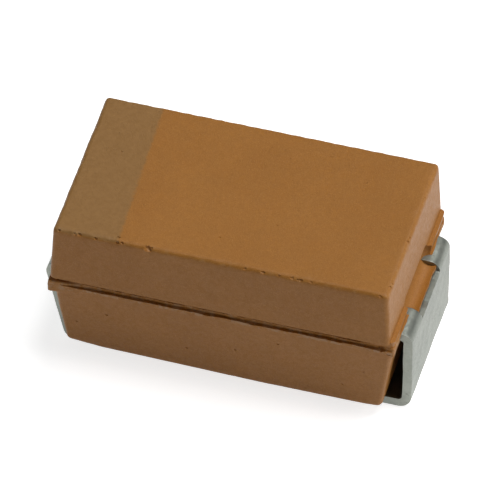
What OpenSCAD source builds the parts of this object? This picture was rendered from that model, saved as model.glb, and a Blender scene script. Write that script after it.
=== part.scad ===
// Surface-mount tantalum capacitor, EIA size 6032-28 (size C), in millimetres.
// The board is the plane z = 0, +X runs from the anode to the cathode and +Z is up.

/* [Moulded body] */
// Length of the body where its two halves meet
body_l = 5.55; // [5.2:0.05:5.8]
// Width of the body where its two halves meet
body_w = 3.18; // [2.9:0.02:3.4]
// Height of the upper half
upper_h = 1.05; // [1.04:0.01:1.3]
// Height of the lower half
lower_h = 1.58; // [1.5:0.02:1.8]
// Gap between the board and the underside of the body
standoff = 0.2; // [0.1:0.01:0.24]
// Draft angle of the upper half's walls
upper_draft = 2.4; // [0:0.2:6]
// Draft angle of the lower half's long sides
side_draft = 4; // [0:0.2:6]
// Draft angle of the lower half's ends
end_draft = 8; // [4:0.5:9]
// Radius of the moulded edges
edge_r = 0.075; // [0.03:0.005:0.12]
// Shift of the lower half towards the cathode, from the mismatch of the mould halves
mould_shift = 0.04; // [0:0.01:0.08]
// How far the lower half's long sides lie inside those of the upper half
mould_step = 0.05; // [0:0.01:0.08]
// How far the lower half's ends stand out past those of the upper half
end_step = 0.03; // [0:0.01:0.05]
// How far the flash stands out of the lower half
flash_reach = 0.03; // [0.01:0.005:0.06]
// Thickness of the flash
flash_t = 0.04; // [0.02:0.01:0.08]
// How far the thick flash beside the terminals stands out of the body's ends
dam_reach = 0.06; // [0.04:0.01:0.08]
// Width of the marked polarity band
band_w = 1.05; // [0.6:0.05:1.4]
// Depth of the marked polarity band
band_depth = 0.012; // [0.01:0.001:0.03]

/* [Terminals] */
// How far the anode terminal stands out past the body's end
anode_reach = 0.185; // [0.18:0.005:0.3]
// How far the cathode terminal stands out past the body's end
cathode_reach = 0.265; // [0.18:0.005:0.3]
// Width of the terminals
lead_w = 2.26; // [2:0.02:2.4]
// Thickness of the lead frame strip
lead_t = 0.15; // [0.1:0.01:0.16]
// Depth of the strip's upper face below the foot of the upper half
lead_drop = 0.15; // [0.1:0.01:0.25]
// Length of each foot, from the terminal's outer face
foot_l = 1.3; // [1.1:0.05:1.6]
// Inward lean of the anode's upright plate
anode_lean = 13; // [8:0.5:14]
// Inward lean of the cathode's upright plate
cathode_lean = 0.5; // [0:0.1:3]
// Inner radius of the upper bend
upper_bend_r = 0.05; // [0.03:0.01:0.08]
// Inner radius of the lower bend
lower_bend_r = 0.07; // [0.05:0.01:0.15]
// Width of the window between the two legs of a terminal
window_w = 1.08; // [0.8:0.02:1.3]
// How far the window reaches below the level strip, into the upright plate
window_drop = 0.02; // [0:0.01:0.1]
// How far the window reaches into the body
window_depth = 0.3; // [0.2:0.01:0.35]
// Width of the strip's bar inside the window
bar_w = 0.12; // [0.08:0.01:0.16]
// Clearance between the body and the outer part of a terminal
terminal_gap = 0.03; // [0.02:0.005:0.04]
// Depth of the relief in the body's end behind each upright plate
relief_depth = 0.1; // [0.05:0.01:0.12]

/* [Mould scoop] */
// Radius of the scoop over each window
scoop_r = 0.2; // [0.16:0.01:0.22]
// Length of the scoop across the body
scoop_l = 1.45; // [1.2:0.05:1.6]
// Distance of the scoop's axis outside the body's end
scoop_out = 0.095; // [0.08:0.005:0.12]
// Distance of the scoop's axis below the foot of the upper half
scoop_drop = 0.03; // [0:0.01:0.06]

/* [Anode slug] */
// Distance of the slug from the body's anode end
anode_room = 1.375; // [1.2:0.025:1.6]
// Distance of the slug from the body's cathode end
cathode_room = 1.175; // [1.15:0.025:1.4]
// Width of the sintered slug
slug_w = 2.3; // [1.8:0.1:2.5]
// Height of the sintered slug
slug_h = 1.4; // [1.1:0.05:1.45]
// Radius of the slug's long edges
slug_r = 0.15; // [0.05:0.01:0.3]
// Diameter of the riser wire
wire_d = 0.3; // [0.24:0.02:0.34]
// Length of the riser wire outside the slug
wire_out = 1.05; // [0.9:0.05:1.15]
// Length of the riser wire inside the slug
wire_in = 1.9; // [1.2:0.1:2.3]
// Depth to which the wire is pressed into the anode strip
wire_press = 0.05; // [0.02:0.01:0.07]

/* [Coats] */
// Thickness of the manganese dioxide
manganese_t = 0.04; // [0.02:0.01:0.05]
// Thickness of the graphite
graphite_t = 0.02; // [0.02:0.01:0.04]
// Thickness of the silver paint
silver_t = 0.03; // [0.02:0.01:0.04]
// Bare length of the manganese dioxide at the anode end, which the conductive coats leave free
bare_l = 0.3; // [0.1:0.05:0.5]
// Diameter of the insulating washer
washer_d = 1.1; // [0.8:0.05:1.2]
// Thickness of the insulating washer
washer_t = 0.15; // [0.08:0.01:0.2]

/* [Inner strip] */
// Thickness of the silver adhesive
adhesive_t = 0.03; // [0.02:0.005:0.05]
// Length of the paddle under the slug
paddle_l = 1.9; // [1.2:0.1:2.4]
// Width of the paddle
paddle_w = 1.8; // [1.2:0.1:2]
// Steepness of the strip's step down to the paddle
step_angle = 70; // [60:1:80]
// Inner radius of the step's bends
step_bend_r = 0.08; // [0.05:0.01:0.1]
// Clearance between the slug's coats and the step
step_gap = 0.1; // [0.08:0.01:0.14]
// Width of the anode tab under the riser wire
tab_w = 0.9; // [0.6:0.05:1.2]
// Overlap of the anode tab and the riser wire
weld_l = 0.45; // [0.3:0.05:0.5]

/* [Hidden] */

$fn = 48;
hull_fn = 32;     // rounds inside the body's hulls
cut = 1;          // how far a cutting block runs past what it cuts
sliver = 0.02;    // height of the rings that close a hull at its parting face
bend_steps = 12;  // flats in each bend of a strip

tin = [0.66, 0.67, 0.63];
epoxy = [0.62, 0.42, 0.21];

// Levels above the board.
upper_foot = standoff + lower_h;
body_top = upper_foot + upper_h;
strip_top = upper_foot - lead_drop;
strip_mid = strip_top - lead_t / 2;
strip_bottom = strip_top - lead_t;
window_bottom = strip_bottom - window_drop;
wire_z = strip_top + wire_d / 2 - wire_press;
coats_t = manganese_t + graphite_t + silver_t;
paddle_top = wire_z - slug_h / 2 - coats_t - adhesive_t;

// Places along the body, whose middle lies off the middle of the terminals at x = 0.
outer_x = (anode_reach + body_l + cathode_reach) / 2;
body_x = outer_x - cathode_reach - body_l / 2;
lower_x = body_x + mould_shift;
cathode_end = body_l / 2 + body_x;
anode_end = body_l / 2 - body_x;      // measured along -X
slug_l = body_l - anode_room - cathode_room;
slug_x = anode_room - anode_end;
washer_x = slug_x - manganese_t - washer_t;
wire_end = slug_x - wire_out;
coats_x = slug_x + bare_l;
coats_end = slug_x + slug_l + coats_t;

// The fold of a terminal, along the middle line of its strip.
lower_mid_r = lower_bend_r + lead_t / 2;
upper_mid_r = upper_bend_r + lead_t / 2;
level_x = outer_x - upper_mid_r - lead_t / 2;

// The step from the level strip down to the paddle.
step_mid_r = step_bend_r + lead_t / 2;
step_drop = strip_top - paddle_top;
step_straight = (step_drop - 2 * step_mid_r * (1 - cos(step_angle))) / sin(step_angle);
step_run = 2 * step_mid_r * sin(step_angle) + step_straight * cos(step_angle);
step_x = coats_end + step_gap + step_run;

// The length of an upright plate between its bends, and the distance of the lower bend's
// start from the terminal's outer face.
function plate_l(lean) = (strip_mid - lead_t / 2 - lower_mid_r * (1 - sin(lean))
                          - upper_mid_r * (1 + sin(lean))) / cos(lean);
function bend_reach(lean) = lower_mid_r * cos(lean) + plate_l(lean) * sin(lean)
                            + upper_mid_r * (1 - cos(lean)) + lead_t / 2;

// ---- Folded strips, drawn about their middle line in the X-Z plane ----

// A station on the middle line is [x, z, heading].
function ahead(at, length) = [at[0] + length * cos(at[2]), at[1] + length * sin(at[2]), at[2]];

// The stations of a bend that turns left by a positive angle.
function bend(at, angle, inner_r) =
    let (r = sign(angle) * (inner_r + lead_t / 2))
    [for (i = [1:bend_steps]) let (heading = at[2] + angle * i / bend_steps)
        [at[0] + r * (sin(heading) - sin(at[2])), at[1] + r * (cos(at[2]) - cos(heading)), heading]];

// The stations after the start. A step is [length of a straight, angle of the bend after it,
// inner radius of the bend], and the last step has only its straight.
function walk(at, steps, i = 0) =
    let (corner = ahead(at, steps[i][0]))
    i + 1 == len(steps) ? [corner] :
    let (turned = bend(corner, steps[i][1], steps[i][2]))
    concat([corner], turned, walk(turned[bend_steps - 1], steps, i + 1));

module strip(start, steps) {
    line = concat([start], walk(start, steps));
    function beside(at, side) = [at[0] - side * sin(at[2]), at[1] + side * cos(at[2])];
    polygon(concat([for (at = line) beside(at, lead_t / 2)],
                   [for (i = [len(line) - 1:-1:0]) beside(line[i], -lead_t / 2)]));
}

module across(width) {
    rotate([90, 0, 0]) linear_extrude(width, center = true) children();
}

// The full-width part of a terminal, from its foot on the board to the bar inside the body,
// with the window that splits it into two legs.
module terminal(body_end, lean) {
    difference() {
        across(lead_w) strip([outer_x - foot_l, lead_t / 2, 0],
            [[foot_l - bend_reach(lean), 90 - lean, lower_bend_r],
             [plate_l(lean), 90 + lean, upper_bend_r],
             [level_x - body_end + window_depth + bar_w]]);
        translate([body_end - window_depth, -window_w / 2, window_bottom])
            cube([window_depth + cut, window_w, cut]);
    }
}

module anode_lead() color(tin) difference() {
    mirror([1, 0, 0]) {
        terminal(anode_end, anode_lean);
        tab_x = -wire_end - weld_l;
        translate([tab_x, -tab_w / 2, strip_bottom])
            cube([anode_end - window_depth - tab_x, tab_w, lead_t]);
    }
    wire_cylinder(wire_end, slug_x);
}

module cathode_lead() color(tin) {
    terminal(cathode_end, cathode_lean);
    bar_x = cathode_end - window_depth;
    across(paddle_w) strip([bar_x, strip_mid, 180],
        [[bar_x - step_x, step_angle, step_bend_r],
         [step_straight, -step_angle, step_bend_r],
         [step_gap + paddle_l]]);
}

// ---- The slug, its wire and its coats ----

module wire_cylinder(from_x, to_x) {
    translate([from_x, 0, wire_z]) rotate([0, 90, 0]) cylinder(h = to_x - from_x, d = wire_d);
}

module riser_wire() color([0.45, 0.45, 0.47]) wire_cylinder(wire_end, slug_x + wire_in);

module rounded_rect(length, width, r) {
    square([length - 2 * r, width], center = true);
    square([length, width - 2 * r], center = true);
    for (x = [-1, 1], y = [-1, 1])
        translate([x * (length / 2 - r), y * (width / 2 - r)]) circle(r);
}

// The slug's block from from_x, grown by the same amount at its sides and its cathode end.
module slug_block(from_x, grown) {
    translate([from_x, 0, wire_z]) rotate([90, 0, 90])
        linear_extrude(slug_x + slug_l + grown - from_x)
            rounded_rect(slug_w + 2 * grown, slug_h + 2 * grown, slug_r + grown);
}

module tantalum_slug() color([0.33, 0.33, 0.35]) difference() {
    slug_block(slug_x, 0);
    wire_cylinder(slug_x - cut, slug_x + wire_in);
}

module manganese_dioxide_coat() color([0.13, 0.12, 0.12]) difference() {
    slug_block(slug_x - manganese_t, manganese_t);
    slug_block(slug_x, 0);
    wire_cylinder(slug_x - cut, slug_x + cut);
}

module graphite_coat() color([0.2, 0.2, 0.21]) difference() {
    slug_block(coats_x, manganese_t + graphite_t);
    slug_block(slug_x, manganese_t);
}

module silver_coat() color([0.78, 0.78, 0.76]) difference() {
    slug_block(coats_x, coats_t);
    slug_block(slug_x, manganese_t + graphite_t);
}

module washer_disc() {
    translate([washer_x, 0, wire_z]) rotate([0, 90, 0]) cylinder(h = washer_t, d = washer_d);
}

module insulating_washer() color([0.93, 0.93, 0.9]) difference() {
    washer_disc();
    wire_cylinder(wire_end, slug_x);
}

// The flat layer between the silver paint's underside and the paddle, and how far it runs
// into them where it is only cut away.
module adhesive_layer(into_paint, into_paddle) {
    width = min(paddle_w, slug_w - 2 * slug_r);
    translate([coats_end - paddle_l, -width / 2, paddle_top - into_paddle])
        cube([paddle_l, width, adhesive_t + into_paint + into_paddle]);
}

module silver_adhesive() color([0.7, 0.7, 0.68]) adhesive_layer(0, 0);

// ---- The moulded body ----

// One half from its parting face up to its flat end, drafted and with rounded edges.
module drafted_half(length, width, height, draft, end_draft) {
    module corners(length, width) {
        for (x = [-1, 1], y = [-1, 1])
            translate([x * (length / 2 - edge_r), y * (width / 2 - edge_r)]) children();
    }
    hull() {
        corners(length, width) cylinder(r = edge_r, h = sliver, $fn = hull_fn);
        translate([0, 0, height - edge_r])
            corners(length - 2 * height * tan(end_draft), width - 2 * height * tan(draft))
                sphere(edge_r, $fn = hull_fn);
    }
}

module halves() {
    lower_w = body_w - 2 * mould_step;
    translate([body_x, 0, upper_foot])
        drafted_half(body_l, body_w, upper_h, upper_draft, upper_draft);
    translate([lower_x, 0, upper_foot]) mirror([0, 0, 1])
        drafted_half(body_l + 2 * end_step, lower_w, lower_h, side_draft, end_draft);
    translate([lower_x, 0, strip_top - flash_t / 2]) linear_extrude(flash_t)
        rounded_rect(body_l + 2 * flash_reach, lower_w + 2 * flash_reach, edge_r + flash_reach);
    // The flash as thick as the strip, which filled the gaps between the strip and its dam.
    translate([lower_x, 0, strip_bottom]) linear_extrude(lead_t) difference() {
        rounded_rect(body_l + 2 * dam_reach, lower_w, edge_r);
        square([2 * body_l, lead_w + 2 * terminal_gap], center = true);
    }
}

// The epoxy in a terminal's window, which ends short of the plate by the clearance.
module tongue(body_end) {
    translate([body_end - window_depth, -window_w / 2, window_bottom + terminal_gap])
        cube([outer_x - body_end + window_depth - 2 * terminal_gap, window_w,
              strip_top - window_bottom - terminal_gap]);
}

// The round-ended hollow over a tongue.
module scoop(body_end) {
    span = scoop_l / 2 - scoop_r;
    translate([body_end + scoop_out, 0, upper_foot - scoop_drop]) {
        rotate([90, 0, 0]) cylinder(h = 2 * span, r = scoop_r, center = true);
        for (y = [-span, span]) translate([0, y, 0]) sphere(scoop_r);
    }
}

// The relief behind an upright plate, which leans as the plate does, and the recess over
// its foot.
module terminal_room(body_end, lean) {
    width = lead_w + 2 * terminal_gap;
    wall_x = body_end - relief_depth;
    across(width) polygon([[wall_x, strip_bottom], [wall_x - (strip_bottom + cut) * tan(lean), -cut],
                           [outer_x + cut, -cut], [outer_x + cut, strip_bottom]]);
    translate([outer_x - foot_l - terminal_gap, -width / 2, -cut])
        cube([foot_l + cut, width, lead_t + terminal_gap + cut]);
}

module polarity_band() {
    translate([body_x - body_l / 2 - cut, -body_w, body_top - band_depth])
        cube([band_w + cut, 2 * body_w, cut]);
}

module inner_pieces() {
    wire_cylinder(wire_end, slug_x);
    washer_disc();
    slug_block(slug_x - manganese_t, manganese_t);
    slug_block(coats_x, coats_t);
    adhesive_layer(silver_t / 2, lead_t / 2);
}

module moulded_body() color(epoxy) difference() {
    union() {
        halves();
        tongue(cathode_end);
        mirror([1, 0, 0]) tongue(anode_end);
    }
    for (end = [[0, cathode_end, cathode_lean], [1, anode_end, anode_lean]])
        mirror([end[0], 0, 0]) {
            scoop(end[1]);
            terminal_room(end[1], end[2]);
        }
    polarity_band();
    inner_pieces();
    anode_lead();
    cathode_lead();
}

moulded_body();
anode_lead();
cathode_lead();
tantalum_slug();
riser_wire();
insulating_washer();
manganese_dioxide_coat();
graphite_coat();
silver_coat();
silver_adhesive();
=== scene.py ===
import math

import bpy
from mathutils import Matrix, Vector, noise


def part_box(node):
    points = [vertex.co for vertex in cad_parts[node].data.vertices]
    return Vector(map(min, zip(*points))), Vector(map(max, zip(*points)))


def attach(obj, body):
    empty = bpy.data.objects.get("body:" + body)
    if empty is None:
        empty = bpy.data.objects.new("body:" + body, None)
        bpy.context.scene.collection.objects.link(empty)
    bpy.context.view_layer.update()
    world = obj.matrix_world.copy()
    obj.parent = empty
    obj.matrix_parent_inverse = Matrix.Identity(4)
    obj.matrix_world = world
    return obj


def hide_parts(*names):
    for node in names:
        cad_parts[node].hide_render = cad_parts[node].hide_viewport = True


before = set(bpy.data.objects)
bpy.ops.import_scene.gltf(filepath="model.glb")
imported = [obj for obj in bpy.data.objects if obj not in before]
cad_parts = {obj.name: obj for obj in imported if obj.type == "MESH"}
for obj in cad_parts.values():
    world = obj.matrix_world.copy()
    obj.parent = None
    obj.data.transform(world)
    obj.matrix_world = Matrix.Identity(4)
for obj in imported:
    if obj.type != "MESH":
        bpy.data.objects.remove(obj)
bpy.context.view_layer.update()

# Without a seed, the vector noise would differ from run to run.
noise.seed_set(6)

# ---------------------------------------------------------------- sizes, in millimetres

MM = 0.001
body_low, body_high = (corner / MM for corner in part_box("moulded_body"))
strip_low, strip_high = (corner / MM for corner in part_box("cathode_lead"))

BODY_L = 5.55
BODY_W = body_high.y - body_low.y
BODY_X = -0.04
BODY_TOP = body_high.z
BODY_FOOT = body_low.z - 0.03
UPPER_H = 1.05
UPPER_FOOT = BODY_TOP - UPPER_H
UPPER_DRAFT = math.radians(2.4)
SIDE_DRAFT = math.radians(4)
END_DRAFT = math.radians(8)
LOWER_X = BODY_X + 0.04
LOWER_L = BODY_L + 0.06
LOWER_W = BODY_W - 0.1
EDGE_R = 0.075
BAND_W = 1.05

OUTER_X = strip_high.x
STRIP_W = strip_high.y - strip_low.y
STRIP_T = 0.15
STRIP_TOP = UPPER_FOOT - 0.15
STRIP_BOTTOM = STRIP_TOP - STRIP_T
FOOT_L = 1.3
ANODE_LEAN = math.radians(13)
CATHODE_LEAN = math.radians(0.5)
UPPER_BEND_R = 0.05
LOWER_BEND_R = 0.07
WINDOW_W = 1.08
WINDOW_DEPTH = 0.3
WINDOW_BOTTOM = STRIP_BOTTOM - 0.02
BAR_W = 0.12
TERMINAL_GAP = 0.03
SIDE_GAP = 0.004
RELIEF_DEPTH = 0.1
SCOOP_R = 0.2
SCOOP_L = 1.45
SCOOP_OUT = 0.095
SCOOP_DROP = 0.03
TAB_W = 0.9
PADDLE_W = 1.8
PADDLE_L = 1.9
STEP_ANGLE = math.radians(70)
STEP_BEND_R = 0.08
STEP_GAP = 0.1

CATHODE_END = BODY_X + BODY_L / 2
ANODE_END = BODY_L / 2 - BODY_X

# The flash between the mould halves, and the groove under the shoulder.
FLASH_REACH = 0.03
FLASH_BELOW, FLASH_ABOVE = 0.045, 0.005
FLASH_CORNER_R = 0.1
GROOVE_LOW, GROOVE_HIGH = 0.08, 0.02
GROOVE_DEPTH = 0.015
LIP_R = 0.025

# How far the lower half runs into the upper one, so that the two join.
OVERLAP = 0.03

# How far the underside's edge lifts along the anode half, at the anode's corner and at the
# cathode's corner.
ANODE_LIFT = 0.075
ANODE_CORNER_LIFT = 0.045
CATHODE_CORNER_LIFT = 0.03

# The pits and chips: a distance from the body's middle and a radius, or a place on a face.
FRONT_PITS = ((-2.63, 0.03), (-2.37, 0.026), (-2.29, 0.034), (-2.03, 0.03), (-1.68, 0.034),
              (-1.60, 0.028), (-1.18, 0.055), (0.40, 0.028), (0.70, 0.03), (0.96, 0.026),
              (1.17, 0.032), (1.26, 0.026), (1.31, 0.03), (1.47, 0.026), (2.60, 0.032))
BACK_CHIPS = ((-0.78, 0.05), (-0.70, 0.04), (-2.34, 0.035), (-2.18, 0.03), (1.55, 0.03),
              (0.35, 0.028))
END_CHIPS = ((-0.26, 0.035), (-0.17, 0.03), (-1.30, 0.03), (-1.22, 0.035), (0.75, 0.024))
TOP_PITS = ((-2.2, 0.4), (-1.1, 1.1), (0.6, -0.5), (1.7, 0.8), (2.1, -0.9), (-0.2, -1.0),
            (1.0, 1.2))
TOP_PIT_R = 0.017
SIDE_PITS = ((-1.9, -0.7), (-0.6, -1.1), (0.9, -0.55), (1.95, -1.2), (2.3, -0.8), (-2.4, -1.0),
             (0.2, -0.9))
SIDE_PIT_R = 0.018
CORNER_CHIPS = ((2.60, -0.12, 0.05), (2.70, -0.22, 0.045), (2.5, -0.3, 0.03),
                (2.02, -0.36, 0.03), (2.1, -0.33, 0.022))

# How finely the faces are cut before they are roughened, and how the meshes are finished.
COARSE_STEP, FINE_STEP = 0.07, 0.05
EDGE_FLATS = 5
BEND_FLATS = 10
MERGE_DISTANCE = 0.0004
SMOOTH_ANGLE = math.radians(35)

# The camera looks at the body's middle on its shoulder, a little off-centre.
CAMERA_AZIMUTH, CAMERA_ELEVATION, CAMERA_ROLL = map(math.radians, (15.2, 45.54, 0.59))
CAMERA_DISTANCE = 244
VIEW_WIDTH = 7.893
AIM_RIGHT, AIM_UP = 0.062, -0.087
SENSOR_W = 36

# The studio, in metres and watts.
FLOOR_SIZE = 1.0
FLOOR_GLOW = 0.75
WORLD_LIGHT = 0.13
LAMP_DISTANCE = 0.3

# ---------------------------------------------------------------- mesh tools


def select_only(piece):
    bpy.ops.object.select_all(action="DESELECT")
    piece.select_set(True)
    bpy.context.view_layer.objects.active = piece


def edit(piece, kind="FACE"):
    """Starts edit mode on the piece alone, with nothing selected."""
    select_only(piece)
    bpy.ops.object.mode_set(mode="EDIT")
    bpy.ops.mesh.select_mode(type=kind)
    bpy.ops.mesh.select_all(action="DESELECT")


def object_mode():
    bpy.ops.object.mode_set(mode="OBJECT")


def pick(piece, kind, test):
    """Selects the faces, edges or vertices that pass the test, and stays in edit mode."""
    edit(piece, kind)
    object_mode()
    parts = {"FACE": piece.data.polygons, "EDGE": piece.data.edges, "VERT": piece.data.vertices}
    for part in parts[kind]:
        part.select = test(part)
    bpy.ops.object.mode_set(mode="EDIT")


def block(name, low, high):
    """A cuboid between two corners, with its place in its mesh."""
    low, high = Vector(low), Vector(high)
    bpy.ops.object.select_all(action="DESELECT")
    bpy.ops.mesh.primitive_cube_add(size=1, location=(low + high) / 2)
    piece = bpy.context.object
    piece.name = name
    piece.scale = high - low
    bpy.ops.object.transform_apply(location=True, rotation=True, scale=True)
    return piece


def grid_cuts(piece, axis, low, high, step):
    """Cuts the whole mesh across an axis at even steps."""
    edit(piece)
    normal = [0, 0, 0]
    normal[axis] = 1
    count = max(1, round((high - low) / step))
    for i in range(1, count):
        place = [0, 0, 0]
        place[axis] = low + (high - low) * i / count
        bpy.ops.mesh.select_all(action="SELECT")
        bpy.ops.mesh.bisect(plane_co=place, plane_no=normal)
    object_mode()


def apply_modifier(piece, kind, **settings):
    """Adds a modifier with its settings and applies it."""
    select_only(piece)
    modifier = piece.modifiers.new(kind.lower(), kind)
    for key, value in settings.items():
        setattr(modifier, key, value)
    bpy.ops.object.modifier_apply(modifier=modifier.name)


def joined(pieces):
    """Joins the pieces into the first of them."""
    select_only(pieces[0])
    for piece in pieces[1:]:
        piece.select_set(True)
    bpy.ops.object.join()
    return pieces[0]


def combine(piece, tool, operation):
    """A boolean with the tool, which is then deleted."""
    apply_modifier(piece, "BOOLEAN", operation=operation, object=tool, solver="MANIFOLD")
    bpy.data.objects.remove(tool)


def clean(piece):
    """Merges vertices that lie together, and turns all faces outwards."""
    edit(piece)
    bpy.ops.mesh.select_all(action="SELECT")
    bpy.ops.mesh.remove_doubles(threshold=MERGE_DISTANCE)
    bpy.ops.mesh.normals_make_consistent(inside=False)
    object_mode()


def roughened(piece, size, depth, seed, where=None):
    """Moves each vertex a little way by smooth noise, within the place that where allows."""
    shift = Vector((seed * 7.3, seed * 3.1, seed * 5.7))
    for vertex in piece.data.vertices:
        reach = depth if where is None else depth * where(vertex.co)
        if reach:
            vertex.co += noise.noise_vector(vertex.co / size + shift) * reach
    piece.data.update()


def finish_piece(piece, material, node):
    """Sets the shading, the scale and the finish, and lets the piece stand for a CAD node."""
    select_only(piece)
    piece.data.materials.clear()
    piece.data.materials.append(material)
    piece.scale = (MM, MM, MM)
    bpy.ops.object.transform_apply(location=True, rotation=True, scale=True)
    bpy.ops.object.shade_smooth_by_angle(angle=SMOOTH_ANGLE)
    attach(piece, "root")
    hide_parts(node)


# ---------------------------------------------------------------- materials


class Finish:
    """A material's node tree, with short calls for the nodes that the finishes use."""

    def __init__(self, name):
        self.material = bpy.data.materials.new(name)
        self.material.use_nodes = True
        self.nodes = self.material.node_tree.nodes
        self.links = self.material.node_tree.links
        self.shader = self.nodes["Principled BSDF"]
        coordinates = self.nodes.new("ShaderNodeTexCoord")
        mapping = self.nodes.new("ShaderNodeMapping")
        mapping.inputs["Scale"].default_value = (1 / MM,) * 3
        self.links.new(coordinates.outputs["Object"], mapping.inputs["Vector"])
        self.place = mapping.outputs["Vector"]

    def link(self, value, socket):
        """Wires a socket to another, or writes a plain value into it."""
        if isinstance(value, bpy.types.NodeSocket):
            self.links.new(value, socket)
        else:
            socket.default_value = value

    def node(self, kind, inputs=(), **settings):
        made = self.nodes.new("ShaderNode" + kind)
        for key, value in settings.items():
            setattr(made, key, value)
        for key, value in dict(inputs).items():
            self.link(value, made.inputs[key])
        return made

    def noise(self, scale, detail=3.0, roughness=0.5):
        made = self.node("TexNoise", {"Vector": self.place, "Scale": scale, "Detail": detail,
                                      "Roughness": roughness})
        return made.outputs["Fac"]

    def math(self, operation, a, b=0.0, c=0.0):
        return self.node("Math", {0: a, 1: b, 2: c}, operation=operation).outputs[0]

    def ramp(self, value, low, high, out_low=0.0, out_high=1.0):
        """A soft step from one value to another, as the input goes from low to high."""
        made = self.node("MapRange", {"Value": value, "From Min": low, "From Max": high,
                                      "To Min": out_low, "To Max": out_high},
                         interpolation_type="SMOOTHSTEP")
        return made.outputs["Result"]

    def within(self, value, middle, half, soft):
        """1 inside the stretch of a value, and 0 outside it."""
        away = self.math("ABSOLUTE", self.math("SUBTRACT", value, middle))
        return self.ramp(away, half + soft, half - soft)

    def mix(self, factor, a, b):
        """The first colour where the factor is 0, and the second where it is 1."""
        made = self.node("Mix", data_type="RGBA")
        for key, value in (("Factor", factor), ("A", a), ("B", b)):
            self.link(value, [s for s in made.inputs if s.name == key and s.enabled][0])
        return [s for s in made.outputs if s.enabled][0]

    def axes(self):
        made = self.node("SeparateXYZ", {"Vector": self.place})
        return made.outputs["X"], made.outputs["Y"], made.outputs["Z"]

    def bump(self, height, strength, distance, normal=None):
        """Relief from a height, on top of any relief before it."""
        inputs = {"Height": height, "Strength": strength, "Distance": distance * MM}
        if normal:
            inputs["Normal"] = normal
        return self.node("Bump", inputs).outputs["Normal"]

    def set(self, **inputs):
        for key, value in inputs.items():
            self.link(value, self.shader.inputs[key.replace("_", " ")])


def colour(red, green, blue):
    return (red, green, blue, 1.0)


def epoxy_finish():
    """Golden-brown moulded epoxy: mottled, with filler grains, worn edges and a paler band."""
    f = Finish("moulded_epoxy")
    x, y, z = f.axes()
    broad = f.noise(0.7, 4)
    cloudy = f.noise(3.2, 4, 0.6)
    fine = f.noise(15, 5, 0.65)
    grain = f.noise(60, 2, 0.6)

    resin = f.mix(f.ramp(broad, 0.35, 0.65), colour(0.376, 0.149, 0.021),
                  colour(0.41, 0.167, 0.026))
    resin = f.mix(f.ramp(cloudy, 0.3, 0.7, 0.0, 0.35), resin, colour(0.35, 0.152, 0.028))
    resin = f.mix(f.ramp(fine, 0.35, 0.65, 0.0, 0.4), resin, colour(0.32, 0.125, 0.017))
    resin = f.mix(f.ramp(grain, 0.52, 0.72, 0.0, 0.5), resin, colour(0.5, 0.235, 0.055))
    resin = f.mix(f.ramp(grain, 0.48, 0.28, 0.0, 0.5), resin, colour(0.27, 0.1, 0.012))

    # The marked band: its edge runs slightly askew, and its tone is duller than the resin.
    edge_x = f.math("MULTIPLY_ADD", y, -0.037, BODY_X - BODY_L / 2 + BAND_W)
    past = f.math("SUBTRACT", x, edge_x)
    past = f.math("MULTIPLY_ADD", f.math("SUBTRACT", fine, 0.5), 0.13, past)
    on_top = f.ramp(z, BODY_TOP - 0.05, BODY_TOP - 0.02)
    band = f.math("MULTIPLY", f.ramp(past, 0.035, -0.035), on_top)
    marked = f.mix(f.ramp(fine, 0.3, 0.7), colour(0.28, 0.14, 0.038), colour(0.32, 0.164, 0.048))
    tone = f.mix(band, resin, marked)

    # Worn edges show raw filler, paler than the moulded skin. The flash along the parting line is
    # paler too, partly as raw filler and partly as a painted highlight where its ridge catches the
    # light.
    out_y = f.ramp(f.math("ABSOLUTE", y), BODY_W / 2 - 0.13, BODY_W / 2 - 0.05)
    out_x = f.ramp(f.math("ABSOLUTE", f.math("SUBTRACT", x, BODY_X)), BODY_L / 2 - 0.12,
                   BODY_L / 2 - 0.05)
    rim = f.math("MULTIPLY", f.math("MAXIMUM", out_x, out_y),
                 f.ramp(z, BODY_TOP - 0.09, BODY_TOP - 0.03))
    worn = f.math("MULTIPLY", rim, f.ramp(f.noise(6, 4, 0.7), 0.5, 0.68))
    tone = f.mix(f.math("MULTIPLY", worn, 0.35), tone, colour(0.5, 0.29, 0.12))
    # Partly painted highlight: the ragged band round the parting line is made paler, for raw
    # filler and for the light that the flash ridge catches.
    seam = f.within(z, STRIP_TOP - 0.01, 0.09, 0.05)
    raw_flash_and_highlight = f.math("MULTIPLY", seam, f.ramp(f.noise(9, 3, 0.6), 0.44, 0.62))
    raw_flash_and_highlight = f.math("MULTIPLY", raw_flash_and_highlight, f.ramp(f.math("ABSOLUTE", y), STRIP_W / 2, STRIP_W / 2 + 0.1))
    tone = f.mix(f.math("MULTIPLY", raw_flash_and_highlight, 0.5), tone, colour(0.46, 0.30, 0.17))

    relief = f.bump(grain, 0.4, 0.006)
    relief = f.bump(fine, 0.45, 0.009, relief)
    relief = f.bump(cloudy, 0.3, 0.012, relief)
    f.set(Base_Color=tone, Roughness=f.ramp(fine, 0.3, 0.7, 0.44, 0.58), Normal=relief)
    f.shader.inputs["IOR"].default_value = 1.42
    return f.material


def tin_finish():
    """Matte tin plate, slightly clouded, with fine scuffs and dull specks."""
    f = Finish("tinned_strip")
    cloud = f.noise(3.5, 4, 0.6)
    fine = f.noise(30, 4, 0.7)
    specks = f.noise(11, 2, 0.5)
    tone = f.mix(f.ramp(cloud, 0.3, 0.7), colour(0.235, 0.25, 0.22), colour(0.285, 0.3, 0.265))
    tone = f.mix(f.ramp(fine, 0.6, 0.8, 0.0, 0.5), tone, colour(0.2, 0.2, 0.17))
    tone = f.mix(f.ramp(specks, 0.66, 0.76, 0.0, 0.55), tone, colour(0.13, 0.13, 0.11))
    relief = f.bump(fine, 0.35, 0.006)
    relief = f.bump(cloud, 0.4, 0.03, relief)
    f.set(Base_Color=tone, Roughness=f.ramp(fine, 0.3, 0.7, 0.4, 0.54), Normal=relief)
    f.shader.inputs["Metallic"].default_value = 1.0
    return f.material


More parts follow.
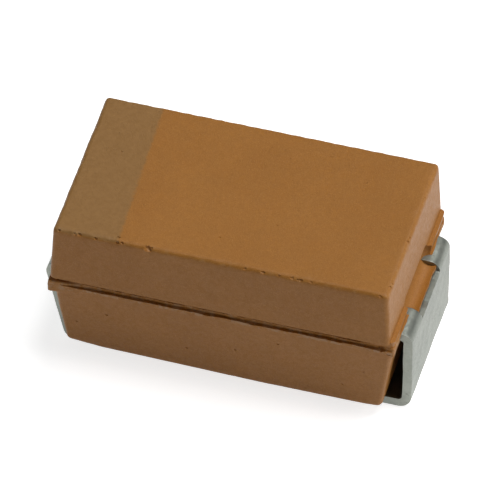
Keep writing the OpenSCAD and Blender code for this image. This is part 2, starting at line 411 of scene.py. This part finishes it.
def powder_finish(name, dark, pale, roughness, scale, metallic=0.0):
    """A fine-grained finish for the sealed pieces."""
    f = Finish(name)
    grain = f.noise(scale, 4, 0.6)
    clouds = f.noise(scale / 12, 3, 0.5)
    tone = f.mix(f.ramp(grain, 0.3, 0.7), colour(*dark), colour(*pale))
    tone = f.mix(f.ramp(clouds, 0.35, 0.65, 0.0, 0.4), tone, colour(*dark))
    f.set(Base_Color=tone, Normal=f.bump(grain, 0.4, 0.01),
          Roughness=f.ramp(grain, 0.3, 0.7, roughness - 0.06, roughness + 0.06))
    f.shader.inputs["Metallic"].default_value = metallic
    return f.material


# ---------------------------------------------------------------- the moulded body


def drafted_half(name, middle_x, length, width, height, side_draft, end_draft, up):
    """One half of the body on its parting face, drafted, with rounded edges."""
    sunk = OVERLAP if up < 0 else 0.0
    low_z, high_z = sorted((UPPER_FOOT - up * sunk, UPPER_FOOT + up * height))
    piece = block(name, (middle_x - length / 2, -width / 2, low_z),
                  (middle_x + length / 2, width / 2, high_z))
    far_z = UPPER_FOOT + up * height
    pick(piece, "FACE", lambda face: face.normal.z * up > 0.5)
    bpy.ops.transform.resize(value=(1 - 2 * height * math.tan(end_draft) / length,
                                    1 - 2 * height * math.tan(side_draft) / width, 1),
                             center_override=(middle_x, 0, 0))
    object_mode()
    mesh = piece.data

    def far_or_upright(edge):
        return any(abs(mesh.vertices[i].co.z - far_z) < 0.01 for i in edge.vertices)

    pick(piece, "EDGE", far_or_upright)
    bpy.ops.mesh.bevel(offset=EDGE_R, segments=EDGE_FLATS, affect="EDGES")
    object_mode()
    grid_cuts(piece, 0, middle_x - length / 2, middle_x + length / 2, COARSE_STEP)
    grid_cuts(piece, 1, -width / 2, width / 2, COARSE_STEP)
    grid_cuts(piece, 2, low_z, high_z, COARSE_STEP)
    return piece


def flash_ring():
    """The ragged skin that ran out between the mould halves, all round the body."""
    half_l, half_w = BODY_L / 2, LOWER_W / 2
    ring = block("flash",
                 (LOWER_X - half_l - FLASH_REACH, -half_w - FLASH_REACH, STRIP_TOP - FLASH_BELOW),
                 (LOWER_X + half_l + FLASH_REACH, half_w + FLASH_REACH, STRIP_TOP + FLASH_ABOVE))
    points = ring.data.vertices

    def upright(edge):
        a, b = (points[i].co for i in edge.vertices)
        return abs(a.z - b.z) > 0.01

    pick(ring, "EDGE", upright)
    bpy.ops.mesh.bevel(offset=FLASH_CORNER_R, segments=4, affect="EDGES")
    object_mode()
    grid_cuts(ring, 0, LOWER_X - half_l, LOWER_X + half_l, FINE_STEP)
    grid_cuts(ring, 1, -half_w, half_w, FINE_STEP)
    for vertex in ring.data.vertices:
        at = vertex.co
        ragged = noise.noise(Vector((at.x * 2.6, at.y * 2.6, 4.0)))
        nicks = noise.noise(Vector((at.x * 11, at.y * 11, 9.0)))
        out = 0.018 * ragged + 0.012 * nicks - 0.008
        if abs(at.y) > half_w - 0.05:
            at.y += math.copysign(out, at.y)
        if abs(at.x - LOWER_X) > half_l - 0.05:
            at.x += math.copysign(out, at.x - LOWER_X)
        at.z += 0.012 * noise.noise(Vector((at.x * 4, at.y * 4, 2.0)))
    ring.data.update()
    return ring


def corner_slab(end, side, length, proud, reach, low, high, seed):
    """The thick flash beside a terminal, from the body's corner until it dies out along the
    long side."""
    corner_x = LOWER_X + end * (LOWER_L / 2 + reach)
    inner_x = corner_x - end * length
    wide = LOWER_W / 2 + proud
    xs = sorted((corner_x, inner_x))
    ys = sorted((side * (STRIP_W / 2 + TERMINAL_GAP), side * wide))
    slab = block("slab", (xs[0], ys[0], low), (xs[1], ys[1], high))
    points = slab.data.vertices

    def outer(edge):
        return all(abs(points[i].co.y) > wide - 0.01 or abs(points[i].co.x - corner_x) < 0.01
                   for i in edge.vertices)

    pick(slab, "EDGE", outer)
    bpy.ops.mesh.bevel(offset=LIP_R, segments=3, affect="EDGES")
    object_mode()
    grid_cuts(slab, 0, xs[0], xs[1], FINE_STEP)
    grid_cuts(slab, 1, ys[0], ys[1], 0.06)
    grid_cuts(slab, 2, low, high, FINE_STEP)
    for vertex in slab.data.vertices:
        at = vertex.co
        along = min(1.0, abs(at.x - corner_x) / length)
        if abs(at.y) > LOWER_W / 2 - 0.02:
            at.y -= side * (proud + 0.02) * max(0.0, along - 0.25) / 0.75
        if at.z < (low + high) / 2:
            at.z += 0.07 * along * along
    slab.data.update()
    roughened(slab, 0.09, 0.012, seed)
    return slab


def shadow_groove(side):
    """The groove under the shoulder, where the upper half overhangs the lower one."""
    deep = LOWER_W / 2 - GROOVE_DEPTH
    ys = sorted((side * deep, side * (BODY_W / 2 + 0.2)))
    groove = block("groove", (LOWER_X - LOWER_L / 2 + 0.1, ys[0], UPPER_FOOT - GROOVE_LOW),
                   (LOWER_X + LOWER_L / 2 - 0.4, ys[1], UPPER_FOOT - GROOVE_HIGH))
    grid_cuts(groove, 0, -BODY_L / 2, BODY_L / 2, 0.06)
    for vertex in groove.data.vertices:
        at = vertex.co
        wave = noise.noise(Vector((at.x * 1.7, side * 3.0, 1.0)))
        nick = noise.noise(Vector((at.x * 8, side * 3.0, 6.0)))
        if abs(at.y) < BODY_W / 2:
            at.y += side * (0.012 * wave + 0.012 * nick)
        if at.z < UPPER_FOOT - 0.06:
            at.z += 0.015 * wave + 0.012 * nick
    groove.data.update()
    return groove


def terminal_room(end, body_end, lean):
    """The relief behind an upright plate, which leans as the plate does."""
    wide = STRIP_W / 2 + TERMINAL_GAP
    wall = body_end - RELIEF_DEPTH
    room = block("room", (wall, -wide, -0.5), (OUTER_X + 0.5, wide, STRIP_BOTTOM - 0.004))
    pick(room, "VERT", lambda v: v.co.x < wall + 0.01 and v.co.z < 0)
    bpy.ops.transform.translate(value=(-(STRIP_BOTTOM + 0.5) * math.tan(lean), 0, 0))
    object_mode()
    if end < 0:
        mirrored(room)
    return room


def mirrored(piece):
    """Turns a piece built for the cathode end round to the anode end."""
    edit(piece)
    bpy.ops.mesh.select_all(action="SELECT")
    bpy.ops.transform.resize(value=(-1, 1, 1), center_override=(0, 0, 0))
    bpy.ops.mesh.normals_make_consistent(inside=False)
    object_mode()


def scoop(end, body_end):
    """The round-ended hollow over a tongue: a ball drawn out across the body."""
    bpy.ops.object.select_all(action="DESELECT")
    middle = (body_end + SCOOP_OUT, 0, UPPER_FOOT - SCOOP_DROP)
    bpy.ops.mesh.primitive_uv_sphere_add(segments=40, ring_count=20, radius=SCOOP_R,
                                         location=middle, rotation=(math.pi / 2, 0, 0))
    ball = bpy.context.object
    bpy.ops.object.transform_apply(location=True, rotation=True, scale=True)
    span = SCOOP_L / 2 - SCOOP_R
    for side in (-1, 1):
        pick(ball, "FACE", lambda face: face.center.y * side > 0)
        bpy.ops.mesh.extrude_region_move(TRANSFORM_OT_translate={"value": (0, side * span, 0)})
        object_mode()
    clean(ball)
    roughened(ball, 0.25, 0.012, 3 + end)
    if end < 0:
        mirrored(ball)
    return ball


def tongue(end, body_end):
    """The epoxy that fills a terminal's window, with a torn lip."""
    edge_x = OUTER_X - 2 * TERMINAL_GAP
    half_w = WINDOW_W / 2 - SIDE_GAP
    piece = block("tongue", (body_end - WINDOW_DEPTH, -half_w, WINDOW_BOTTOM + TERMINAL_GAP),
                  (edge_x, half_w, STRIP_TOP))
    pick(piece, "FACE", lambda face: face.normal.x > 0.5)
    bpy.ops.mesh.bevel(offset=LIP_R, segments=3, affect="EDGES")
    object_mode()
    grid_cuts(piece, 0, body_end - 0.1, OUTER_X, 0.04)
    grid_cuts(piece, 1, -WINDOW_W / 2, WINDOW_W / 2, FINE_STEP)

    def near_lip(co):
        return 1.0 if co.x > edge_x - 0.15 else 0.0

    for vertex in piece.data.vertices:
        at = vertex.co
        if at.x > edge_x - 0.05:
            at.x -= 0.02 + 0.02 * noise.noise(Vector((at.y * 7, 1.0, end * 2.0)))
    roughened(piece, 0.08, 0.008, 5 + end, near_lip)
    if end < 0:
        mirrored(piece)
    return piece


def pit(x, y, z, size, seed):
    """A chipped or porous spot: a small ball, squashed and roughened."""
    bpy.ops.object.select_all(action="DESELECT")
    bpy.ops.mesh.primitive_ico_sphere_add(subdivisions=3, radius=size, location=(x, y, z))
    piece = bpy.context.object
    turn = noise.noise_vector(Vector((seed * 1.7, 2.0, 3.0)))
    piece.scale = (1.15 + 0.5 * turn.x, 0.9 + 0.3 * turn.y, 0.85 + 0.4 * turn.z)
    bpy.ops.object.transform_apply(location=True, rotation=True, scale=True)
    roughened(piece, size * 0.9, size * 0.35, seed)
    return piece


def chips():
    """The pits and chips, as a few cutting pieces whose shells lie apart."""
    front = -BODY_W / 2 + (UPPER_H - 0.03) * math.tan(UPPER_DRAFT)
    spots = []
    for i, (x, size) in enumerate(FRONT_PITS):
        spots.append(pit(x + BODY_X, front + 0.012, BODY_TOP - 0.022, size, i))
    spots.append(pit(-1.13 + BODY_X, front + 0.03, BODY_TOP - 0.012, 0.03, 31))
    spots.append(pit(-1.68 + BODY_X, front + 0.11, BODY_TOP + 0.004, 0.024, 32))
    for i, (x, size) in enumerate(BACK_CHIPS):
        spots.append(pit(x + BODY_X, -front - 0.005, BODY_TOP - 0.01, size, 40 + i))
    right = CATHODE_END - UPPER_H * math.tan(UPPER_DRAFT)
    for i, (y, size) in enumerate(END_CHIPS):
        spots.append(pit(right - 0.012, y, BODY_TOP - 0.012, size, 50 + i))
    for i, (x, y) in enumerate(TOP_PITS):
        spots.append(pit(x, y, BODY_TOP + 0.006, TOP_PIT_R, 60 + i))
    side = -LOWER_W / 2 + 0.02
    for i, (x, z) in enumerate(SIDE_PITS):
        y = side - z * math.tan(SIDE_DRAFT) - 0.022
        spots.append(pit(x, y, UPPER_FOOT + z, SIDE_PIT_R, 70 + i))
    for i, (x, z, size) in enumerate(CORNER_CHIPS):
        spots.append(pit(x, -LOWER_W / 2 - 0.012, UPPER_FOOT + z, size, 80 + i))
    return [joined(spots[i::4]) for i in range(4)]


def moulded_body(material):
    """Both halves with their flash and tongues, less scoops, reliefs, grooves and chips."""
    body = drafted_half("epoxy_moulding", BODY_X, BODY_L, BODY_W, UPPER_H, UPPER_DRAFT,
                        UPPER_DRAFT, 1)
    lower = drafted_half("lower_half", LOWER_X, LOWER_L, LOWER_W, UPPER_FOOT - BODY_FOOT,
                         SIDE_DRAFT, END_DRAFT, -1)

    # The underside's edge lifts a little towards the anode end and at the far corner.
    for vertex in lower.data.vertices:
        at = vertex.co
        down = (UPPER_FOOT - at.z) / (UPPER_FOOT - BODY_FOOT)
        if down > 0.5:
            lift = (ANODE_LIFT * max(0.0, (0.6 - at.x) / 3.3)
                    + ANODE_CORNER_LIFT * max(0.0, (-2.0 - at.x) / 0.6))
            at.z += (down - 0.5) * 2 * lift
            at.z += CATHODE_CORNER_LIFT * max(0.0, (at.x - 2.3) / 0.35) * (down - 0.5) * 2
    lower.data.update()

    combine(body, lower, "UNION")
    low, high = STRIP_BOTTOM - 0.03, UPPER_FOOT - 0.085
    for piece in (flash_ring(),
                  corner_slab(-1, -1, 0.75, 0.035, 0.045, low, high, 1),
                  corner_slab(-1, 1, 0.5, 0.02, 0.035, low + 0.03, high, 2),
                  corner_slab(1, -1, 0.3, 0.012, 0.0, low + 0.05, high, 3)):
        combine(body, piece, "UNION")
    for end, body_end, lean in ((1, CATHODE_END, CATHODE_LEAN), (-1, ANODE_END, ANODE_LEAN)):
        combine(body, tongue(end, body_end), "UNION")
        combine(body, scoop(end, body_end), "DIFFERENCE")
        combine(body, terminal_room(end, body_end, lean), "DIFFERENCE")
    for side in (-1, 1):
        combine(body, shadow_groove(side), "DIFFERENCE")
    for piece in chips():
        combine(body, piece, "DIFFERENCE")
    clean(body)

    # Moulded edges are never quite straight.
    def on_edges(co):
        near_top = abs(co.z - BODY_TOP) < 0.09
        side = min(abs(abs(co.y) - BODY_W / 2), abs(abs(co.x - BODY_X) - BODY_L / 2)) < 0.14
        return 1.0 if near_top and side else 0.25

    roughened(body, 0.13, 0.009, 8, on_edges)
    top, wide = BODY_TOP, BODY_W / 2
    for vertex in body.data.vertices:
        vertex.co.z = max(BODY_FOOT, min(top, vertex.co.z))
        vertex.co.y = max(-wide, min(wide, vertex.co.y))
    finish_piece(body, material, "moulded_body")


# ---------------------------------------------------------------- the terminals


def strip(name, width, start, heading, steps):
    """A folded strip: a short first length, then straights and bends drawn out in turn. Its
    path is that of its middle line, and a bend turns left by a positive angle."""
    x, z = start
    first = steps[0][0]
    piece = block(name, (x, -width / 2, z - STRIP_T / 2), (x + first, width / 2, z + STRIP_T / 2))
    if math.cos(heading) < 0:
        edit(piece)
        bpy.ops.mesh.select_all(action="SELECT")
        bpy.ops.transform.translate(value=(-first, 0, 0))
        object_mode()
    x += first * math.cos(heading)
    ahead = 1 if math.cos(heading) > 0 else -1
    pick(piece, "FACE", lambda face: face.normal.x * ahead > 0.5)
    for i, (length, *turn) in enumerate(steps):
        if i:
            move = (length * math.cos(heading), 0, length * math.sin(heading))
            bpy.ops.mesh.extrude_region_move(TRANSFORM_OT_translate={"value": move})
            x += move[0]
            z += move[2]
        if turn:
            angle, inner = turn
            side = math.copysign(1, angle)
            radius = inner + STRIP_T / 2
            centre = (x - side * radius * math.sin(heading), 0,
                      z + side * radius * math.cos(heading))
            bpy.ops.mesh.spin(steps=BEND_FLATS, angle=abs(angle), center=centre,
                              axis=(0, side, 0))
            heading += angle
            x = centre[0] + side * radius * math.sin(heading)
            z = centre[2] - side * radius * math.cos(heading)
    object_mode()
    clean(piece)
    return piece


def plate_length(lean):
    """The upright plate's length between its two bends."""
    lower, upper = LOWER_BEND_R + STRIP_T / 2, UPPER_BEND_R + STRIP_T / 2
    middle = STRIP_TOP - STRIP_T / 2
    return (middle - STRIP_T / 2 - lower * (1 - math.sin(lean))
            - upper * (1 + math.sin(lean))) / math.cos(lean)


def bend_reach(lean):
    """How far the plate's outer face stands beyond the start of the lower bend."""
    lower, upper = LOWER_BEND_R + STRIP_T / 2, UPPER_BEND_R + STRIP_T / 2
    return (lower * math.cos(lean) + plate_length(lean) * math.sin(lean)
            + upper * (1 - math.cos(lean)) + STRIP_T / 2)


def terminal(name, body_end, lean, seed):
    """Foot, lower bend, upright plate, upper bend and level strip, with the window cut out."""
    level_x = OUTER_X - UPPER_BEND_R - STRIP_T
    turned = math.pi / 2 - lean
    piece = strip(name, STRIP_W, (OUTER_X - FOOT_L, STRIP_T / 2), 0.0,
                  ((FOOT_L - bend_reach(lean), turned, LOWER_BEND_R),
                   (plate_length(lean), math.pi - turned, UPPER_BEND_R),
                   (level_x - body_end + WINDOW_DEPTH + BAR_W,)))
    window = block("window", (body_end - WINDOW_DEPTH, -WINDOW_W / 2, WINDOW_BOTTOM),
                   (OUTER_X + 0.5, WINDOW_W / 2, STRIP_TOP + 0.5))
    points = window.data.vertices

    def lower_side(edge):
        a, b = (points[i].co for i in edge.vertices)
        return max(a.z, b.z) < WINDOW_BOTTOM + 0.01 and abs(a.x - b.x) > 0.1

    pick(window, "EDGE", lower_side)
    bpy.ops.mesh.bevel(offset=0.035, segments=4, affect="EDGES")
    object_mode()
    combine(piece, window, "DIFFERENCE")
    clean(piece)
    apply_modifier(piece, "BEVEL", width=0.014, segments=3, limit_method="ANGLE",
                   angle_limit=math.radians(50))
    grid_cuts(piece, 1, -STRIP_W / 2, STRIP_W / 2, COARSE_STEP)
    grid_cuts(piece, 2, STRIP_T + 0.1, STRIP_BOTTOM, COARSE_STEP)

    def outside(co):
        return 1.0 if co.x > body_end and co.z > 0.05 else 0.0

    roughened(piece, 0.3, 0.008, seed, outside)
    roughened(piece, 0.06, 0.004, seed + 1, outside)
    for vertex in piece.data.vertices:
        vertex.co.x = min(vertex.co.x, OUTER_X)
        vertex.co.y = max(-STRIP_W / 2, min(STRIP_W / 2, vertex.co.y))
    piece.data.update()
    return piece


def cathode_lead(material):
    """The terminal at the plain end, with its step and its paddle under the slug."""
    outer = terminal("cathode_terminal", CATHODE_END, CATHODE_LEAN, 11)
    paddle_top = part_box("silver_adhesive")[0].z / MM
    coats_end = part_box("silver_coat")[1].x / MM
    bar_x = CATHODE_END - WINDOW_DEPTH
    middle = STRIP_BOTTOM + STRIP_T / 2
    radius = STEP_BEND_R + STRIP_T / 2
    drop = STRIP_TOP - paddle_top
    straight = (drop - 2 * radius * (1 - math.cos(STEP_ANGLE))) / math.sin(STEP_ANGLE)
    step_x = (coats_end + STEP_GAP + 2 * radius * math.sin(STEP_ANGLE)
              + straight * math.cos(STEP_ANGLE))
    inner = strip("step", PADDLE_W, (bar_x, middle), math.pi,
                  ((bar_x - step_x, STEP_ANGLE, STEP_BEND_R), (straight, -STEP_ANGLE, STEP_BEND_R),
                   (STEP_GAP + PADDLE_L,)))
    piece = joined([outer, inner])
    finish_piece(piece, material, "cathode_lead")


def anode_lead(material):
    """The terminal at the banded end, with its tab under the wire."""
    outer = terminal("anode_terminal", ANODE_END, ANODE_LEAN, 17)
    mirrored(outer)
    wire_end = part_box("riser_wire")[0].x / MM
    tab = block("tab", (-ANODE_END + WINDOW_DEPTH, -TAB_W / 2, STRIP_BOTTOM),
                (wire_end + 0.45, TAB_W / 2, STRIP_TOP - 0.05))
    apply_modifier(tab, "BEVEL", width=0.012, segments=2, limit_method="ANGLE")
    piece = joined([outer, tab])
    finish_piece(piece, material, "anode_lead")


# ---------------------------------------------------------------- stage, camera and light


def make_floor():
    """Pale paper, which shows plain white to the camera and in reflections."""
    bpy.ops.object.select_all(action="DESELECT")
    bpy.ops.mesh.primitive_plane_add(size=FLOOR_SIZE, location=(0, 0, 0))
    floor = bpy.context.object
    floor.name = "floor"
    material = bpy.data.materials.new("floor_paper")
    material.use_nodes = True
    nodes, links = material.node_tree.nodes, material.node_tree.links
    diffuse = nodes["Principled BSDF"]
    diffuse.inputs["Base Color"].default_value = colour(0.8, 0.8, 0.8)
    diffuse.inputs["Roughness"].default_value = 0.9
    glow = nodes.new("ShaderNodeEmission")
    path = nodes.new("ShaderNodeLightPath")
    seen = nodes.new("ShaderNodeMath")
    seen.operation = "MAXIMUM"
    links.new(path.outputs["Is Camera Ray"], seen.inputs[0])
    links.new(path.outputs["Is Glossy Ray"], seen.inputs[1])
    dimmed = nodes.new("ShaderNodeMath")
    dimmed.operation = "MULTIPLY"
    dimmed.inputs[1].default_value = FLOOR_GLOW
    links.new(seen.outputs[0], dimmed.inputs[0])
    links.new(dimmed.outputs[0], glow.inputs["Strength"])
    both = nodes.new("ShaderNodeAddShader")
    links.new(diffuse.outputs[0], both.inputs[0])
    links.new(glow.outputs[0], both.inputs[1])
    links.new(both.outputs[0], nodes["Material Output"].inputs["Surface"])
    floor.data.materials.append(material)


def make_world():
    world = bpy.data.worlds.new("studio")
    world.use_nodes = True
    background = world.node_tree.nodes["Background"]
    background.inputs["Color"].default_value = colour(1, 1, 1)
    background.inputs["Strength"].default_value = WORLD_LIGHT
    bpy.context.scene.world = world


def softbox(name, direction, size, power):
    """A round lamp in a direction from the part, turned to face it."""
    lamp = bpy.data.lights.new(name, "AREA")
    lamp.shape = "DISK"
    lamp.size = size
    lamp.energy = power
    holder = bpy.data.objects.new(name, lamp)
    away = Vector(direction).normalized()
    holder.location = away * LAMP_DISTANCE
    holder.rotation_euler = away.to_track_quat("Z", "Y").to_euler()
    bpy.context.scene.collection.objects.link(holder)


def make_camera():
    """A long lens from the front right, well above the part."""
    distance = CAMERA_DISTANCE * MM
    back = Vector((math.sin(CAMERA_AZIMUTH) * math.cos(CAMERA_ELEVATION),
                   -math.cos(CAMERA_AZIMUTH) * math.cos(CAMERA_ELEVATION),
                   math.sin(CAMERA_ELEVATION)))
    turn = back.to_track_quat("Z", "Y").to_matrix()
    turn = turn @ Matrix.Rotation(CAMERA_ROLL, 3, "Z")
    data = bpy.data.cameras.new("camera")
    data.sensor_width = SENSOR_W
    data.lens = data.sensor_width * distance / (VIEW_WIDTH * MM)
    data.clip_start, data.clip_end = 0.01, 10
    camera = bpy.data.objects.new("camera", data)
    target = Vector((BODY_X, 0, UPPER_FOOT)) + turn @ Vector((AIM_RIGHT, AIM_UP, 0))
    camera.location = target * MM + back * distance
    camera.rotation_euler = turn.to_euler()
    bpy.context.scene.collection.objects.link(camera)
    bpy.context.scene.camera = camera


# ---------------------------------------------------------------- the scene

make_camera()
make_world()
make_floor()
softbox("key", (0.3, 0.25, 1), 0.2, 0.62)
softbox("end_light", (1, 0.1, 0.5), 0.16, 0.2)

tin = tin_finish()
moulded_body(epoxy_finish())
cathode_lead(tin)
anode_lead(tin)

silver = powder_finish("silver_paint", (0.5, 0.5, 0.48), (0.66, 0.66, 0.64), 0.5, 50, 0.7)
SEALED = {
    "tantalum_slug": powder_finish("sintered_tantalum", (0.06, 0.06, 0.068), (0.13, 0.13, 0.14),
                                   0.62, 60, 0.6),
    "riser_wire": powder_finish("tantalum_wire", (0.16, 0.16, 0.18), (0.24, 0.24, 0.26), 0.36, 25,
                                1.0),
    "insulating_washer": powder_finish("ptfe", (0.78, 0.78, 0.75), (0.87, 0.87, 0.85), 0.5, 30),
    "manganese_dioxide_coat": powder_finish("manganese_dioxide", (0.01, 0.009, 0.009),
                                            (0.03, 0.026, 0.025), 0.8, 70),
    "graphite_coat": powder_finish("graphite", (0.02, 0.02, 0.022), (0.05, 0.05, 0.054), 0.6, 60),
    "silver_coat": silver,
    "silver_adhesive": silver,
}
for node, material in SEALED.items():
    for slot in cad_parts[node].material_slots:
        slot.material = material

bpy.context.scene.view_settings.view_transform = "Standard"
